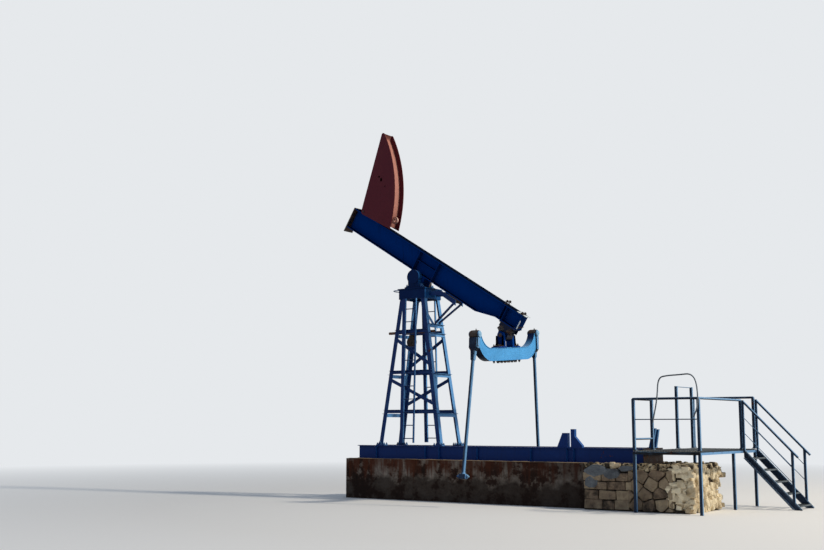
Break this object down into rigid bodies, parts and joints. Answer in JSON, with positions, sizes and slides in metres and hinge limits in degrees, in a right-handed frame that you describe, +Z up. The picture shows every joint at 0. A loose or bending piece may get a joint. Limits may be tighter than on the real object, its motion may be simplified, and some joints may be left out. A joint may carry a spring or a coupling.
{
  "type": "pumpjack",
  "caption": "Walking-beam pumpjack on a concrete and stone plinth, with its head folded back, drive removed, pitmans hanging free and a service platform with a stair behind.",
  "frame": {"origin": "on the ground under the saddle bearing, in the middle plane of the beam", "axes": "+X to the tail and the service platform, +Y to the far side, +Z up"},
  "size_m": [10.5265, 4.0786, 8.809],
  "materials": {
    "stained_concrete": "weathered concrete with rust runs",
    "limestone": "rough-cut limestone with dark joints",
    "blue_paint": "weathered semi-gloss paint",
    "beam_blue_paint": "weathered semi-gloss paint",
    "grey_blue_paint": "weathered satin paint",
    "grating_steel": "dull galvanised grating",
    "red_brown_paint": "faded red-brown paint",
    "worn_red_paint": "worn red-brown paint bleached by the sun",
    "rusted_steel": "rusty steel with old grease",
    "old_timber": "greyed oily timber"
  },
  "bodies": {
    "base": {"plinth": "stained_concrete", "stone_pier": "limestone", "runner_near": "blue_paint", "runner_far": "blue_paint", "base_crossbeams": "blue_paint", "leg_front_near": "blue_paint", "leg_front_far": "blue_paint", "leg_rear_near": "blue_paint", "leg_rear_far": "blue_paint", "bracing_near": "blue_paint", "bracing_far": "blue_paint", "bracing_front": "blue_paint", "bracing_rear": "blue_paint", "post_cap": "blue_paint", "base_end_plate": "rusted_steel", "base_stubs": "blue_paint", "old_pipe": "rusted_steel", "front_hoop": "blue_paint", "ladder_near": "blue_paint", "ladder_far": "blue_paint", "saddle_bearing_near": "blue_paint", "saddle_bearing_far": "blue_paint", "beam_rest": "blue_paint", "rest_timber": "old_timber", "platform_frame": "grey_blue_paint", "platform_legs": "grey_blue_paint", "platform_deck": "grating_steel", "platform_rails": "grey_blue_paint", "hoop_rail": "grey_blue_paint", "gate_frame": "grey_blue_paint", "stair_stringers": "grey_blue_paint", "stair_treads": "grating_steel", "stair_rails": "grey_blue_paint"},
    "beam": {"walking_beam": "beam_blue_paint", "beam_end_plate": "rusted_steel", "saddle_block": "beam_blue_paint", "tail_hanger": "rusted_steel"},
    "head": {"head_plates": "red_brown_paint", "head_groove": "worn_red_paint", "head_pin": "rusted_steel", "rope_eye": "worn_red_paint"},
    "equalizer": {"equalizer_beam": "beam_blue_paint", "equalizer_pedestals": "beam_blue_paint", "equalizer_shaft": "rusted_steel"},
    "near_pitman": {"pitman_near": "beam_blue_paint"},
    "far_pitman": {"pitman_far": "beam_blue_paint"}
  },
  "joints": [
    {"name": "beam_rock", "type": "hinge", "parent": "base", "child": "beam", "pos_m": [0, 0, 5.155], "axis": [0, -1, 0], "range_deg": [0, 55]},
    {"name": "head_fold", "type": "hinge", "parent": "beam", "child": "head", "pos_m": [-1.56462, 0, 6.91212], "axis": [0, -1, 0], "range_deg": [0, 143]},
    {"name": "equalizer_swing", "type": "hinge", "parent": "beam", "child": "equalizer", "pos_m": [2.33796, 0, 3.68818], "axis": [0, -1, 0], "range_deg": [-65, 15]},
    {"name": "near_pitman_swing", "type": "hinge", "parent": "equalizer", "child": "near_pitman", "pos_m": [2.33796, -1.27329, 3.61752], "axis": [1, 0, 0], "range_deg": [-4, 10]},
    {"name": "far_pitman_swing", "type": "hinge", "parent": "equalizer", "child": "far_pitman", "pos_m": [2.33796, 1.26954, 3.80871], "axis": [1, 0, 0], "range_deg": [-2, 8]}
  ]
}
